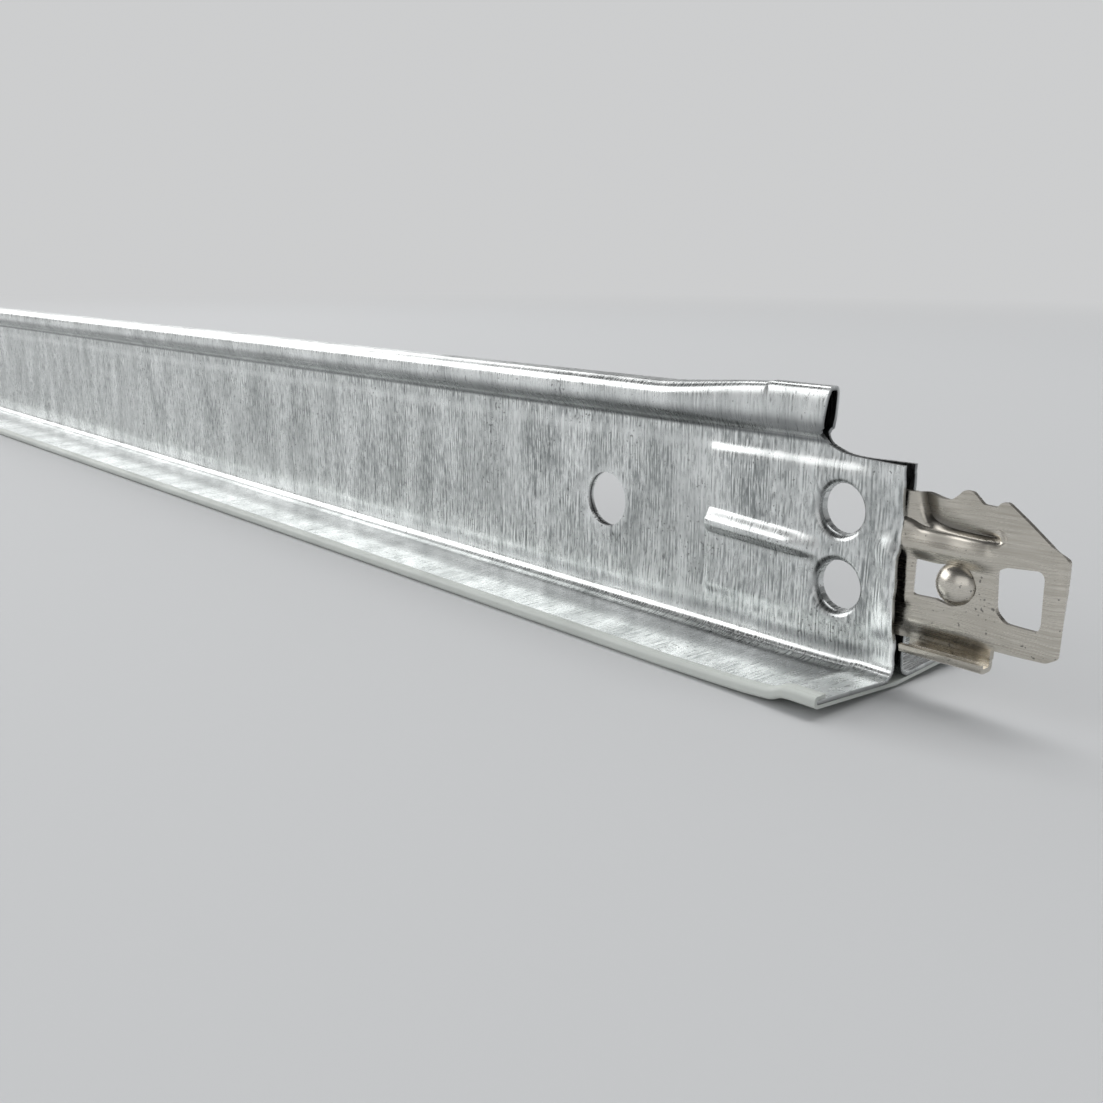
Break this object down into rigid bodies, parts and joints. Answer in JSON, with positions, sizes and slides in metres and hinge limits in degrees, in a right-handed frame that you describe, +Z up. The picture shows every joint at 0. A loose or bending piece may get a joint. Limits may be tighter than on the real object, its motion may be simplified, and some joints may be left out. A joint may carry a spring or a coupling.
{
  "type": "ceiling cross tee",
  "caption": "Galvanised double web cross tee of a suspended ceiling grid, with a painted face cap and a pressed end clip at both ends.",
  "frame": {"origin": "middle of the painted face, on the surface that the tee stands on", "axes": "+X along the tee, +Y across the flange, +Z up the web"},
  "size_m": [0.613, 0.024, 0.0264],
  "materials": {
    "galvanised_steel": "bright hot dip galvanised strip with fine cross striations and small dark specks",
    "face_paint": "matte off-white baked paint",
    "clip_steel": "plain pressed stainless strip with fine lines along its length"
  },
  "bodies": {
    "root": {"tee_profile": "galvanised_steel", "face_cap": "face_paint", "end_clip_right": "clip_steel", "end_clip_left": "clip_steel"}
  },
  "joints": []
}
